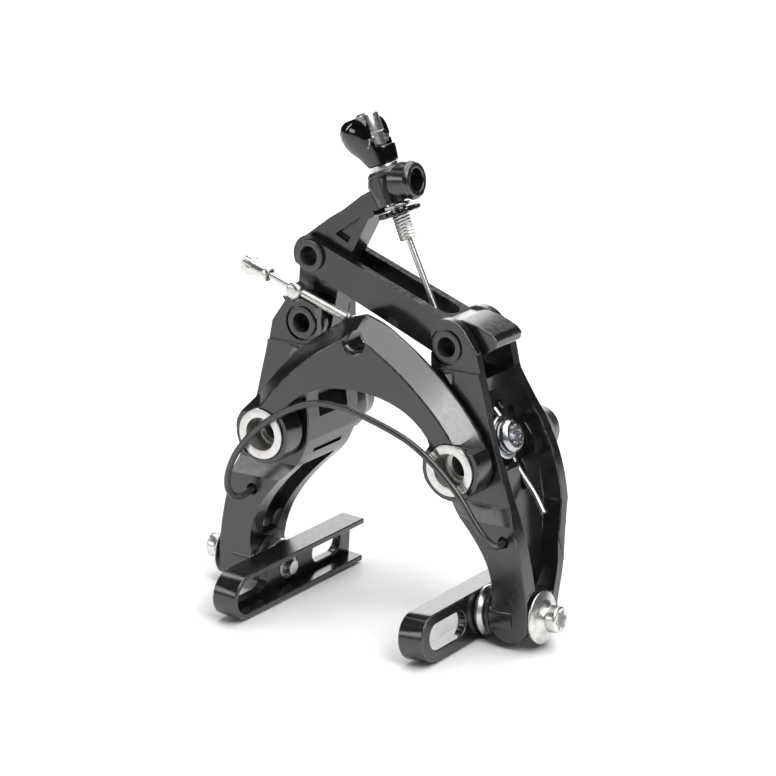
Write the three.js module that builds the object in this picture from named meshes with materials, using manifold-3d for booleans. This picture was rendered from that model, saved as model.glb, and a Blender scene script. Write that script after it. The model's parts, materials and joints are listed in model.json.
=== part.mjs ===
// Direct-mount rim brake caliper: two arms on parallel pivots under an arch plate, closed by a
// toggle of stop lever and link that the brake wire pulls together.
// Millimetres. +X right, +Z up, +Y back towards the frame. The origin lies midway between the two
// mounting bores, on the plane of the rear seats. Inside the caliper group y is counted from the
// front face of the pivot sleeves, so that every layer reads as a depth behind that face.
import * as THREE from "three";
import { mergeVertices } from "three/addons/utils/BufferGeometryUtils.js";
import Module from "manifold-3d";

const wasm = await Module();
wasm.setup();

// ---- driving dimensions ----
const overallDepth = 43.5; // sleeve front face to rear seat face
const pivotHalfPitch = 28; // direct-mount bores are 56 mm apart
const gap = 0.3; // clearance between pieces that touch

const archFront = 0.6;
const archBack = 7.4;
const archBevel = { width: 4.2, depth: 5.8 };
const bossRadius = 8;

const armFront = 8.4;
const shinFront = 6.6; // the arm comes forward below the arch
const armBack = 31;
const plateThickness = 3;
const earFront = 9.2;
const earRadius = 7;
const toggle = { x: 21.4, z: 27.9 }; // top pin of each arm
const leverCrank = { x: -20.4, z: 44.8 }; // pin that joins the stop lever and the link
const clevis = { front: 12, back: 24.6, rearEarBack: 27.4 };
const rearPlate = 3.2; // thickness of the arm's rear plate
const rearBoss = 26; // front of the rear pivot boss

const linkFront = 12.3;
const linkBack = 24.3;
const linkPlate = 2.4;
const leverFront = 15;
const leverBack = 21.6;
const midDepth = (leverFront + leverBack) / 2;

const sleeve = { flange: 6.5, body: 5.6, tube: 4, bore: 3.1, counterbore: 4.3 };
const bushRadius = 6.2;
const bushLength = 4;
const pin = { radius: 3.4, crank: 3.1, bore: 2.5, flange: 4 };

const cableTilt = THREE.MathUtils.degToRad(22.5); // cable line leans this far from vertical
const cableHead = { x: -0.6, z: 64.3 }; // cable line crosses the end of the stop lever here
const wireRadius = 0.8;
const springRadius = 0.85;

const padTilt = THREE.MathUtils.degToRad(4); // pad bolts tilt with the open arms
const padBolt = { x: 40, y: 12.4, z: -38.2 };
const padNutRadius = 3.6;
const holder = { front: -29.6, back: 28.4, height: 12, face: -15.8, rear: -8.8, wall: 1.5 };

const centring = { nut: { x: -23.5, y: 10.6, z: 35.8 }, slope: THREE.MathUtils.degToRad(-18.7) };
// Seat of the wire clamp on the right arm, square to the sloping web.
const anchor = { x: 32.2, y: 16.6, z: 4.6, slope: THREE.MathUtils.degToRad(20) };
const wireDepth = anchor.y + 3.2; // the clamped wire lies behind the anchor bolt

const sides = { left: -1, right: 1 };
const leftToggle = { x: -toggle.x, z: toggle.z };
const closingAngle = 8; // swing of each arm from open to closed, in degrees
const openPivotPlay = 0.8; // the link's bore is left wide on the crank pin
const adjuster = { bottom: -14.4, wheelBottom: -8 };
const releasePivot = 11.4; // height of the quick release pin along the cable line
const releasePinRadius = 1.5;
const releaseFace = 1.7; // the fork is cut back to here, which bares the housing barrel
const releaseSlot = 3.3; // half width of the slot that the housing barrel stands in
const leverEye = { x: 4.2, z: 65.6, axis: [1, 0, 0.16] }; // round eye at the end of the stop lever
const archHoleHeight = 28.2;

// ---- materials ----
const finish = (color, roughness, metalness) =>
  new THREE.MeshStandardMaterial({ color, roughness, metalness });
const blackAnodised = finish(0x1b1b1d, 0.38, 0.6);
const glossBlack = finish(0x0c0c0d, 0.18, 0.3);
const darkGrey = finish(0x4a4a4c, 0.45, 0.7);
const steel = finish(0xc9c9c6, 0.28, 1);
const zinc = finish(0xaeb2b5, 0.35, 1);
const springSteel = finish(0x39393b, 0.4, 0.8);
const bronze = finish(0x6e5a34, 0.45, 0.9);

// ---- solids ----
function solid(geometry) {
  const bare = geometry.clone();
  bare.deleteAttribute("normal");
  bare.deleteAttribute("uv");
  const merged = mergeVertices(bare, 1e-4);
  const index = merged.index.array;
  const triVerts = [];
  for (let i = 0; i < index.length; i += 3) {
    const [a, b, c] = [index[i], index[i + 1], index[i + 2]];
    const flat = a === b || b === c || a === c;
    if (!flat) triVerts.push(a, b, c);
  }
  const vertProperties = new Float32Array(merged.attributes.position.array);
  const mesh = new wasm.Mesh({ numProp: 3, vertProperties, triVerts: new Uint32Array(triVerts) });
  return new wasm.Manifold(mesh);
}

const join = (first, ...others) => others.reduce((sum, piece) => sum.add(piece), first);
const cut = (first, ...others) => others.reduce((rest, piece) => rest.subtract(piece), first);

function mesh(name, shape, material) {
  const data = shape.getMesh();
  const geometry = new THREE.BufferGeometry();
  geometry.setAttribute("position", new THREE.BufferAttribute(data.vertProperties, 3));
  geometry.setIndex(new THREE.BufferAttribute(data.triVerts, 1));
  geometry.computeVertexNormals();
  const piece = new THREE.Mesh(geometry, material);
  piece.name = name;
  return piece;
}

const point = ([x, z]) => new THREE.Vector2(x, z);
const curve = (points, steps) => new THREE.SplineCurve(points.map(point)).getPoints(steps);

// Points of an arc about a centre, from one angle to another in degrees.
function arc(centre, radius, from, to, steps) {
  return Array.from({ length: steps + 1 }, (_, i) => {
    const angle = THREE.MathUtils.degToRad(from + ((to - from) * i) / steps);
    return point([centre.x + radius * Math.cos(angle), centre.z + radius * Math.sin(angle)]);
  });
}

// A plate in the XZ plane between two depths.
function plate(points, front, back) {
  const geometry = new THREE.ExtrudeGeometry(new THREE.Shape(points), {
    depth: back - front,
    bevelEnabled: false,
  });
  geometry.rotateX(Math.PI / 2);
  geometry.translate(0, back, 0);
  return solid(geometry);
}

// A prism along X whose section is given as [y, z] points.
function crossPrism(points, left, right) {
  const shape = new THREE.Shape(points.map(([y, z]) => new THREE.Vector2(y, z)));
  const geometry = new THREE.ExtrudeGeometry(shape, { depth: right - left, bevelEnabled: false });
  geometry.applyMatrix4(
    new THREE.Matrix4().makeBasis(
      new THREE.Vector3(0, 1, 0),
      new THREE.Vector3(0, 0, 1),
      new THREE.Vector3(1, 0, 0),
    ),
  );
  geometry.translate(left, 0, 0);
  return solid(geometry);
}

// A ruled solid between a front outline and a back outline with the same number of points.
function taperedPlate(frontPoints, backPoints, front, back) {
  const count = frontPoints.length;
  const corners = [
    ...frontPoints.map((p) => [p.x, front, p.y]),
    ...backPoints.map((p) => [p.x, back, p.y]),
  ].flat();
  const frontFaces = THREE.ShapeUtils.triangulateShape(frontPoints, []);
  const backFaces = THREE.ShapeUtils.triangulateShape(backPoints, []);
  const index = [];
  frontFaces.forEach(([a, b, c]) => index.push(a, b, c));
  backFaces.forEach(([a, b, c]) => index.push(count + a, count + c, count + b));
  for (let i = 0; i < count; i++) {
    const next = (i + 1) % count;
    index.push(i, count + i, next, next, count + i, count + next);
  }
  const geometry = new THREE.BufferGeometry();
  geometry.setAttribute("position", new THREE.Float32BufferAttribute(corners, 3));
  geometry.setIndex(index);
  return solid(geometry);
}

// A turned piece about an axis through a point: profile is [radius, distance along the axis].
function turned(profile, at, direction, sides = 18) {
  const geometry = new THREE.LatheGeometry(
    profile.map(([r, d]) => new THREE.Vector2(r, d)),
    sides,
  );
  const up = new THREE.Vector3(0, 1, 0);
  const axis = new THREE.Vector3(...direction).normalize();
  geometry.applyQuaternion(new THREE.Quaternion().setFromUnitVectors(up, axis));
  geometry.translate(...at);
  return solid(geometry);
}

const alongY = [0, 1, 0];
const drum = (radius, x, z, front, back, sides) =>
  turned([[0, 0], [radius, 0], [radius, back - front], [0, back - front]], [x, front, z], alongY, sides);
const ring = (outer, inner, x, z, front, back, sides) =>
  turned(
    [[inner, 0], [outer, 0], [outer, back - front], [inner, back - front], [inner, 0]],
    [x, front, z],
    alongY,
    sides,
  );

function block(x0, x1, y0, y1, z0, z1) {
  const geometry = new THREE.BoxGeometry(x1 - x0, y1 - y0, z1 - z0);
  geometry.translate((x0 + x1) / 2, (y0 + y1) / 2, (z0 + z1) / 2);
  return solid(geometry);
}

function mirrored(shape) {
  const data = shape.getMesh();
  const vertProperties = data.vertProperties.map((value, i) => (i % 3 === 0 ? -value : value));
  const triVerts = data.triVerts.slice();
  for (let i = 0; i < triVerts.length; i += 3) {
    [triVerts[i + 1], triVerts[i + 2]] = [triVerts[i + 2], triVerts[i + 1]];
  }
  return new wasm.Manifold(new wasm.Mesh({ numProp: 3, vertProperties, triVerts }));
}

const sided = (shape, side) => (side > 0 ? shape : mirrored(shape));

// A rod of round section along a smooth curve.
function rodAlong(points, radius, sides, steps) {
  const path = new THREE.CatmullRomCurve3(points.map((p) => new THREE.Vector3(...p)), false, "centripetal");
  const section = new THREE.Shape(arc({ x: 0, z: 0 }, radius, 0, 360 - 360 / sides, sides - 1));
  return solid(new THREE.ExtrudeGeometry(section, { steps, extrudePath: path, bevelEnabled: false }));
}

// ---- return spring ----
// Return spring from its end in the left arm, over the sleeves, to its end in the right arm.
const springRoute = [
  [-35.6, 7.6, -17.6],
  [-36.2, 3.4, -18.6],
  [-37.6, 1.2, -18.2],
  [-38.2, -0.4, -15.6],
  [-37, -1.3, -10.6],
  [-33.4, -1.6, -4.2],
  [-26.4, -1.6, 3],
  [-17.2, -1.6, 8.8],
  [-9, -1.6, 11.6],
  [0, -1.6, 11.5],
  [9.2, -1.6, 9.1],
  [17.9, -1.6, 5.9],
  [25.3, -1.6, 1],
  [31.8, -1.6, -5.1],
  [36.7, -1.5, -11.8],
  [39.2, -0.9, -15],
  [40.3, 0.9, -17],
  [39.9, 3.6, -18],
  [39.4, 7.6, -18.2],
];

const returnSpring = () => mesh("return_spring", rodAlong(springRoute, springRadius, 10, 64), springSteel);

// ---- arch plate ----
const archTopHalf = [
  [0, 33.8],
  [5, 32.2],
  [10, 29.3],
  [16, 25.2],
  [21.5, 20.6],
  [27.5, 14.8],
  [32.5, 8.6],
];
const archInnerHalf = [
  [22.4, 5.6],
  [19.6, 9],
  [15.4, 12.2],
  [10.6, 14.2],
  [5.4, 15.4],
  [0, 15.8],
];

// Outline of the arch, moved out by grow along its top edge.
function archOutline(grow) {
  const centre = { x: pivotHalfPitch, z: 0 };
  const top = curve(archTopHalf, 12);
  const normalTop = top.map((p, i) => {
    const before = top[Math.max(i - 1, 0)];
    const after = top[Math.min(i + 1, top.length - 1)];
    const along = after.clone().sub(before).normalize();
    const out = new THREE.Vector2(-along.y, along.x);
    if (i === 0) out.set(0, 1);
    return p.clone().add(out.multiplyScalar(grow));
  });
  const boss = arc(centre, bossRadius, 38, -222, 16);
  const half = [...normalTop, ...boss, ...curve(archInnerHalf, 10).slice(1)];
  const other = half.map((p) => new THREE.Vector2(-p.x, p.y)).reverse();
  return [...half, ...other.slice(1, -1)].reverse();
}

function archPlate() {
  const full = archOutline(0);
  const inset = archOutline(-archBevel.width);
  const bevelled = taperedPlate(inset, full, archFront, archFront + archBevel.depth);
  const rear = plate(full, archFront + archBevel.depth, archBack);
  const seatProfile = [
    [0, 0],
    [sleeve.flange + gap, 0],
    [sleeve.flange + gap, 2],
    [sleeve.body + gap, 2],
    [sleeve.body + gap, 9],
    [0, 9],
  ];
  const sleeveSeats = Object.values(sides).map((side) =>
    turned(seatProfile, [side * pivotHalfPitch, 0, 0], alongY, 24),
  );
  const topHole = turned(
    [[0, -1], [3.5, -1], [3.5, 0], [2.5, 1], [2.5, 9], [0, 9]],
    [0, archFront, archHoleHeight],
    alongY,
    24,
  );
  const stopLug = block(-7.2, -3.4, archBack - 1, 12, 25.5, 31.4);
  return mesh("arch_plate", cut(join(bevelled, rear, stopLug), ...sleeveSeats, topHole), blackAnodised);
}

// ---- pivots ----
function pivotSleeve(side) {
  const profile = [
    [sleeve.counterbore, 0],
    [sleeve.flange, 0],
    [sleeve.flange, 1.6],
    [sleeve.body, 1.6],
    [sleeve.body, 7.2],
    [sleeve.tube, 7.2],
    [sleeve.tube, overallDepth],
    [sleeve.bore, overallDepth],
    [sleeve.bore, 6.4],
    [sleeve.counterbore, 6.4],
    [sleeve.counterbore, 0],
  ];
  return turned(profile, [side * pivotHalfPitch, 0, 0], alongY, 24);
}

const leftSleeve = () => mesh("left_pivot_sleeve", pivotSleeve(sides.left), steel);

// The right sleeve has a tool slot across its front face.
function rightSleeve() {
  const turn = new THREE.Matrix4().makeRotationY(Math.PI / 4);
  const slot = place(block(-9, 9, -1, 0.8, -0.9, 0.9), turn.setPosition(pivotHalfPitch, 0, 0));
  return mesh("right_pivot_sleeve", cut(pivotSleeve(sides.right), slot), steel);
}

// A solid moved by a matrix.
function place(shape, matrix) {
  return shape.transform(matrix.elements);
}

function rearSeat(name, side) {
  const front = armBack + 1;
  const profile = [
    [sleeve.tube + gap, front],
    [bossRadius, front],
    [bossRadius, 36.5],
    [6.2, 40.5],
    [5.9, 40.5],
    [5.9, overallDepth],
    [sleeve.tube + gap, overallDepth],
    [sleeve.tube + gap, front],
  ];
  return mesh(name, turned(profile, [side * pivotHalfPitch, 0, 0], alongY, 22), darkGrey);
}

const thrustWasher = (name, side, front) =>
  mesh(name, ring(7, sleeve.tube + gap, side * pivotHalfPitch, 0, front, front + 0.4, 18), bronze);

// ---- arms, drawn for the right side ----
const armOuter = [
  [30.2, 27.5],
  [31.6, 21],
  [33.4, 14],
  [35.6, 5.5],
  [39.2, -6],
  [42.8, -16],
  [45.4, -27],
  [46.6, -36],
];
const rearOuter = [
  [29.2, 27.6],
  [32, 20],
  [34.8, 12.6],
  [38, 6.4],
  [40.9, 0.2],
  [42.9, -6.8],
  [44, -14.5],
  [45, -21],
  [46.2, -28],
  [46.6, -36],
];
const armInner = [
  [36.2, -36],
  [36.5, -31.5],
  [35.4, -26],
  [32.4, -20.4],
  [28, -15],
  [22.6, -9.4],
  [19.4, -3],
];

function armOutline(outerEdge) {
  const ear = arc(toggle, earRadius, 128, 44, 6);
  const outer = curve(outerEdge, 22);
  const foot = arc({ x: 41.2, z: -38.4 }, 5.5, 14, -166, 8);
  const inner = curve(armInner, 18);
  const rise = curve([[19, 3], [19.4, 10], [17.6, 16], [17.1, 22]], 6);
  return [...ear, ...outer, ...foot, ...inner, ...rise].reverse();
}

// Side section of an arm as [y, z], from a front depth to inset inside its rear face.
function armSection(front, inset) {
  const rear = [
    [clevis.rearEarBack, 44],
    [clevis.rearEarBack, 20],
    [armBack, 8.4],
    [armBack, -12.5],
    [21.5, -36],
    [21.5, -48],
  ].map(([y, z]) => [y - inset, z]);
  return crossPrism([...rear, [front, -48], [front, 44]], 8, 54);
}

// The web runs down the arm between the open channels on its outer and inner sides.
const webOuter = [[36.8, -2], [38.2, -12], [40.4, -22], [41.4, -33]];
const webInner = [[31.4, -10.4], [35, -16.6], [38.2, -23.5], [38.6, -31]];

function armPockets() {
  const room = armSection(armFront + plateThickness, rearPlate);
  const innerRoom = armSection(armFront + plateThickness + 0.6, rearPlate + 1.2);
  const outward = [...curve(webOuter, 8), point([54, -33]), point([54, -2])];
  const upperEdge = [[29, 40], [29, 16], [31.4, 9.4], [36.8, -2], [54, -2], [54, 40]];
  const upper = upperEdge.map(point);
  const inward = [...curve(webInner, 8), point([24, -36]), point([10, -20]), point([20, -10.4])];
  const tubeArc = arc({ x: pivotHalfPitch, z: 0 }, 9.4, -128, -232, 8);
  const tubeWindow = [...tubeArc, point([8, 16]), point([8, -4])];
  const tubeRoom = drum(7.4, pivotHalfPitch, 0, clevis.front + 1.4, rearBoss, 24);
  return [
    plate(outward, 0, 40).intersect(room),
    plate(upper, 0, 40).intersect(room),
    plate(inward, 0, 40).intersect(innerRoom),
    plate(tubeWindow, clevis.front + 1.4, rearBoss),
    tubeRoom.intersect(block(15, 31, 10, 30, -3.4, 12)),
  ];
}

function armSolid() {
  const outline = armOutline(armOuter);
  const bulk = plate(outline, armFront, armBack).intersect(armSection(armFront, 0));
  const rearLayer = cut(armSection(armFront, 0), armSection(armFront - 1, rearPlate));
  const rear = plate(armOutline(rearOuter), armFront, armBack).intersect(rearLayer);
  const wedgeSection = [[earFront, 22.5], [armFront + 0.1, 22.5], [4.6, 8.5], [earFront, 8.5]];
  const wedge = crossPrism(wedgeSection, 17, 24);
  const shoulder = cut(wedge.intersect(plate(outline, 0, earFront)), ...archSweep());
  const bosses = [
    drum(bossRadius + 0.8, pivotHalfPitch, 0, armFront, clevis.front + 1.4, 24),
    drum(bossRadius + 0.8, pivotHalfPitch, 0, rearBoss, armBack, 24),
  ];
  const clevisRoom = block(10, 40, clevis.front, clevis.back, 19.5, 40);
  const earStep = block(10, 40, 4, earFront, 22.5, 40);
  const shinBack = armFront + 0.1;
  const shin = crossPrism([[shinBack, -9.6], [shinFront, -14], [shinFront, -46], [shinBack, -46]], 15, 52);
  const forward = shin.intersect(plate(outline, 0, armFront + 1));
  const foot = footBlock().intersect(plate(outline, armFront, 22));
  const arm = join(cut(bulk, ...armPockets()), rear, ...bosses, shoulder, forward, foot, footBoss());
  return cut(arm, clevisRoom, earStep, ...armBores(), armWindow());
}

// The arch as the arm sees it while it closes.
function archSweep() {
  const shape = plate(archOutline(0.7), 0, earFront + 1);
  return [0, 3, 6, closingAngle + 0.5].map((angle) => aboutPivot(shape, -angle));
}

// A solid turned in degrees about the right pivot.
function aboutPivot(shape, degrees) {
  const matrix = new THREE.Matrix4()
    .makeTranslation(pivotHalfPitch, 0, 0)
    .multiply(new THREE.Matrix4().makeRotationY(THREE.MathUtils.degToRad(degrees)))
    .multiply(new THREE.Matrix4().makeTranslation(-pivotHalfPitch, 0, 0));
  return place(shape, matrix);
}

const footBlock = () => block(33, 44.6, armFront, 22, -46, -32.5);

// Round boss that the cup washer of the pad rests on.
const footBoss = () => place(alongBolt(6.2, -4.3, 2, 24), padFrame(1));

// Bores of the pivot, the top pin and the slot of the pad bolt.
function armBores() {
  const through = drum(sleeve.tube + gap, pivotHalfPitch, 0, 0, 40, 24);
  const frontBush = drum(bushRadius + gap, pivotHalfPitch, 0, 0, 13, 24);
  const rearBush = drum(bushRadius + gap, pivotHalfPitch, 0, armBack - 4.6, 40, 24);
  const topPin = drum(pin.radius + gap, toggle.x, toggle.z, 0, 40, 18);
  const pinFlange = ring(pin.flange + 0.7, 1, toggle.x, toggle.z, 0, earFront + 0.8, 18);
  return [through, frontBush, rearBush, topPin, pinFlange, padSlot()];
}

// Blind hole that an end of the return spring stands in.
const springHole = ([x, y, z]) => drum(springRadius + 0.6, x, z, 0, y + 1.6, 12);

// Slot in which the pad bolt slides up and down.
function padSlot() {
  const half = 2.9;
  const travel = 2.6;
  const ends = [-travel, travel].map((z) =>
    turned([[0, -14], [half, -14], [half, 14], [0, 14]], [0, 0, z], [1, 0, 0], 14),
  );
  const middle = block(-14, 14, -half, half, -travel, travel);
  return place(join(middle, ...ends), padFrame(1));
}

// Frame of a pad bolt: X outwards along the bolt.
function padFrame(side) {
  const matrix = new THREE.Matrix4().makeRotationY(-side * padTilt);
  return matrix.setPosition(side * padBolt.x, padBolt.y, padBolt.z);
}

// Arched pocket in the web above the foot.
function armWindow() {
  const width = 3.2;
  const middle = 16.4;
  const crown = turned([[0, 38.4], [width, 38.4], [width, 54], [0, 54]], [0, middle, -28.4], [1, 0, 0], 18);
  return join(crown, block(38.4, 54, middle - width, middle + width, -32.4, -28.4));
}

function leftArm() {
  const { x, z } = centring.nut;
  const saddle = block(-x - 4, -x + 4, 0, 20, z - 9, z - 1.6);
  const lug = drum(3.9, -x, z, earFront, clevis.front, 24).intersect(saddle);
  const nutBore = drum(2.3 + gap, -x, z, 0, clevis.front + 1, 14);
  const rodRoom = mirrored(alongCentring(1.6, -12, 12, 16));
  const arm = mirrored(cut(join(armSolid(), lug), nutBore, rodRoom));
  return mesh("left_arm", cut(arm, springHole(springRoute.at(0))), blackAnodised);
}

function rightArm() {
  const seatRoom = atAnchor(block(0, 12, -5.9, 8.6, -6.6, 6.6));
  const behind = wireDepth - anchor.y;
  const groove = atAnchor(block(-1.2, 1, behind - 1.6, behind + 1.1, -12, 9));
  const thread = atAnchor(alongBolt(2.3, -1.7, 8, 14));
  const tunnel = plate(wireTunnel.map(point), midDepth - 1.3, wireDepth + 1.3);
  const tailRoom = plate(wireTailRoom.map(point), wireDepth - 1.3, wireDepth + 1.3);
  const wireRoom = [groove, tunnel, tailRoom];
  const arm = cut(armSolid(), seatRoom, thread, ...wireRoom, springHole(springRoute.at(-1)));
  return mesh("right_arm", arm, blackAnodised);
}

// Way of the wire from the clevis down to the clamp, wide enough above for its swing.
const wireTunnel = [
  [12, 24],
  [12, 14.6],
  [18, 14.4],
  [24, 11.6],
  [29, 6.4],
  [33, 4.6],
  [33, 9.4],
  [29, 13.6],
  [25.4, 20.4],
  [24, 24],
];
const wireTailRoom = [[31.4, 4.6], [34.6, -3.4], [38.4, -9.6], [48, -9.6], [48, 4.6]];

function armBush(name, side, front) {
  const back = front + bushLength;
  const shape = ring(bushRadius, sleeve.tube + gap, side * pivotHalfPitch, 0, front, back, 18);
  return mesh(name, shape, bronze);
}

// ---- hollow pins of the toggle ----
function hollowPin(name, at, radius, front, back) {
  const profile = [
    [pin.bore, 0],
    [pin.flange, 0],
    [pin.flange, 0.7],
    [radius, 0.7],
    [radius, back - front],
    [pin.bore, back - front],
    [pin.bore, 0],
  ];
  return mesh(name, turned(profile, [at.x, front, at.z], alongY, 18), darkGrey);
}

// ---- toggle link ----
const linkNose = [
  [31.6, 27.2],
  [33.6, 28.6],
  [34, 30.4],
  [32.6, 31.8],
  [28.4, 33.6],
  [24, 34.4],
  [19.6, 34],
];

function linkOutline() {
  const start = { x: leverCrank.x, z: leverCrank.z };
  const slope = THREE.MathUtils.radToDeg(Math.atan2(toggle.z - start.z, toggle.x - start.x));
  const near = arc(start, 5.2, slope + 130, slope + 230, 10);
  const under = arc(toggle, 4.7, slope - 90, slope - 40, 5);
  return [...near, ...under, ...linkNose.map(point)];
}

function toggleLink() {
  const bulk = plate(linkOutline(), linkFront, linkBack);
  const room = block(-40, 15.4, linkFront + linkPlate, linkBack - linkPlate, 20, 60);
  const roundEnd = turned([[0, 20], [3.6, 20], [3.6, 60], [0, 60]], [15.4, midDepth, 0], [0, 0, 1], 24);
  const bore = drum(pin.radius + gap, toggle.x, toggle.z, 0, 40, 18);
  const freeBore = drum(pin.crank + openPivotPlay, leverCrank.x, leverCrank.z, 0, 40, 18);
  return mesh("toggle_link", cut(bulk, room, roundEnd, bore, freeBore), blackAnodised);
}

// ---- stop lever ----
const leverTop = [
  [-20.6, 51.4],
  [-16.8, 54.2],
  [-12.6, 56.8],
  [-7.4, 60.8],
  [-2, 64],
  [3, 66.4],
];
const leverUnder = [
  [4, 61],
  [1.2, 58.6],
  [-4.8, 55.4],
  [-9.6, 46.6],
  [-13.2, 40.4],
  [-14.6, 34],
];
function stopLever() {
  const crown = arc(leverCrank, 5.4, 200, 128, 8);
  const foot = arc(leftToggle, 5.4, -10, -200, 14);
  const outline = [...crown, ...leverTop.map(point), ...leverUnder.map(point), ...foot];
  const arm = plate(outline.reverse(), leverFront, leverBack);
  const hub = drum(4.9, leftToggle.x, leftToggle.z, linkFront, linkBack, 18);
  const eyeCentre = [leverEye.x, midDepth, leverEye.z];
  const nose = turned(
    [[0, -3.4], [4.3, -3.4], [4.9, -2.6], [4.9, 2.2], [4.2, 3.2], [0, 3.2]],
    eyeCentre,
    leverEye.axis,
    24,
  );
  const seat = alongCable(5, -4.9, 2.4, 20);
  const cup = turned([[0, -2.6], [5.2, -2.6], [5.6, 0.6], [5, 2.4], [0, 2.4]], cablePoint(0), cableUp, 20);
  const collar = cup.intersect(block(-14, 0.6, leverFront - 1.6, leverBack + 1.6, 50, 80));
  const lighten = turned([[0, -2.2], [2.9, -2.2], [2.9, 9], [0, 9]], eyeCentre, leverEye.axis, 24);
  const studBore = alongCable(2.4 + gap, -9, -1.6, 24);
  const wireBore = alongCable(1.3, -9, 9, 16);
  const housingSeat = alongCable(2.6, 0.6, 9, 14);
  const headRoom = alongCable(5.4, 2.4, 14, 24);
  const wheelRoom = alongCable(6.2, -14, -4.9, 24);
  const pocket = [[-14.8, 50.4], [-7.2, 55.8], [-11, 48.6]].map(point);
  const pockets = [
    plate(pocket, leverFront - 1, leverFront + 1.6),
    plate(pocket, leverBack - 1.6, leverBack + 1),
  ];
  const pinBores = [leverCrank, leftToggle].map((at) => drum(pin.radius + gap, at.x, at.z, 0, 40, 18));
  const shape = cut(
    join(arm, hub, nose, seat, collar),
    lighten,
    studBore,
    wireBore,
    housingSeat,
    headRoom,
    wheelRoom,
    ...pockets,
    ...pinBores,
  );
  return mesh("stop_lever", shape, blackAnodised);
}

const cableUp = [-Math.sin(cableTilt), 0, Math.cos(cableTilt)];
const cablePoint = (s) => [cableHead.x + cableUp[0] * s, midDepth, cableHead.z + cableUp[2] * s];

const pivotOfRelease = cablePoint(releasePivot);

// A turned piece on the cable line, s counted upwards from the stop lever.
function onCable(profile, sides) {
  return turned(profile, cablePoint(0), cableUp, sides);
}

function alongCable(radius, from, to, sides) {
  return onCable([[0, from], [radius, from], [radius, to], [0, to]], sides);
}

function cableRing(outer, inner, from, to, sides) {
  return onCable([[inner, from], [outer, from], [outer, to], [inner, to], [inner, from]], sides);
}

// ---- cable adjuster and quick release ----
function adjusterStud() {
  const threadPitch = 0.8;
  const profile = [[1.2, adjuster.bottom], [2, adjuster.bottom]];
  for (let s = adjuster.bottom; s < adjuster.wheelBottom - threadPitch; s += threadPitch) {
    profile.push([2.35, s + threadPitch / 2], [2.05, s + threadPitch]);
  }
  profile.push([2.05, -2], [1.2, -2], [1.2, adjuster.bottom]);
  return mesh("adjuster_stud", onCable(profile, 14), steel);
}

function thumbWheel() {
  const wheel = cableRing(5.4, 2.35 + gap, adjuster.wheelBottom, adjuster.wheelBottom + 1.4, 22);
  const grips = Array.from({ length: 16 }, (_, i) => {
    const groove = turned([[0, -9], [0.35, -9], [0.35, -5], [0, -5]], [5.45, 0, 0], [0, 0, 1], 8);
    const spin = new THREE.Matrix4().makeRotationZ((i * Math.PI) / 8);
    return place(groove, cableFrame().multiply(spin));
  });
  return mesh("thumb_wheel", cut(wheel, ...grips), glossBlack);
}

// Frame whose Z runs up the cable line.
function cableFrame() {
  const matrix = new THREE.Matrix4().makeRotationY(-cableTilt);
  return matrix.setPosition(...cablePoint(0));
}

function lockNut() {
  const nut = cableRing(3.5, 2.35 + gap, adjuster.wheelBottom + 1.7, -5.2, 6);
  return mesh("adjuster_lock_nut", nut, zinc);
}

const seatWasher = () => mesh("cable_seat_washer", cableRing(4.4, 2.9, 2.7, 3.6, 18), darkGrey);

function housingBarrel() {
  const profile = [
    [1.3, 3.9],
    [3, 3.9],
    [3, 4.5],
    [1.9, 4.5],
    [1.9, 9.3],
    [2.5, 9.9],
    [2.5, 12.9],
    [2.9, 13.1],
    [2.9, 17.7],
    [2.3, 18.4],
    [1.3, 18.4],
    [1.3, 3.9],
  ];
  const pivot = drum(releasePinRadius + gap, pivotOfRelease[0], pivotOfRelease[2], 0, 40, 16);
  return mesh("housing_barrel", cut(onCable(profile, 18), pivot), steel);
}

// Ovals of the quick release up the cable line: [height, shift, half width, half depth].
const releaseOvals = [
  [4.9, 0, 3.7, 3.7],
  [5.2, 0, 4.1, 4.1],
  [8, -0.6, 5, 4.6],
  [10, -1.4, 5.9, 5.1],
  [12, -1.9, 6.3, 5.6],
  [14, -2.2, 6.3, 5.8],
  [15.6, -2.4, 5.9, 5.5],
  [16.8, -2.6, 5, 4.9],
  [17.6, -2.6, 3.8, 4],
  [18, -2.6, 2.2, 2.8],
];

// A closed solid through rings that have the same number of points and run up Z.
function lofted(rings) {
  const count = rings[0].length;
  const last = (rings.length - 1) * count;
  const index = [];
  for (let i = 1; i < count - 1; i++) {
    index.push(0, i + 1, i);
    index.push(last, last + i, last + i + 1);
  }
  for (let start = 0; start < last; start += count) {
    for (let i = 0; i < count; i++) {
      const [a, b] = [start + i, start + ((i + 1) % count)];
      index.push(a, b, b + count, a, b + count, a + count);
    }
  }
  const geometry = new THREE.BufferGeometry();
  geometry.setAttribute("position", new THREE.Float32BufferAttribute(rings.flat(2), 3));
  geometry.setIndex(index);
  return solid(geometry);
}

function oval([height, shift, halfWidth, halfDepth], steps) {
  return Array.from({ length: steps }, (_, i) => {
    const angle = (i * 2 * Math.PI) / steps;
    return [shift + halfWidth * Math.cos(angle), halfDepth * Math.sin(angle), height];
  });
}

function quickRelease() {
  const bulk = lofted(releaseOvals.map((section) => oval(section, 36)));
  const upperSlot = block(-9, 9, -releaseSlot, releaseSlot, 9.3, 20);
  const lowerSlot = block(-9, 2.2, -releaseSlot, releaseSlot, 0, 9.4);
  const pinHole = drum(releasePinRadius + gap, 0, releasePivot, -releaseSlot - 1.5, releaseSlot + 1.5, 16);
  const openFace = block(releaseFace, 9, -9, 9, 9.3, 20);
  const shape = cut(bulk, upperSlot, lowerSlot, openFace, pinHole);
  return mesh("quick_release_lever", place(shape, cableFrame()), glossBlack);
}

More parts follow.
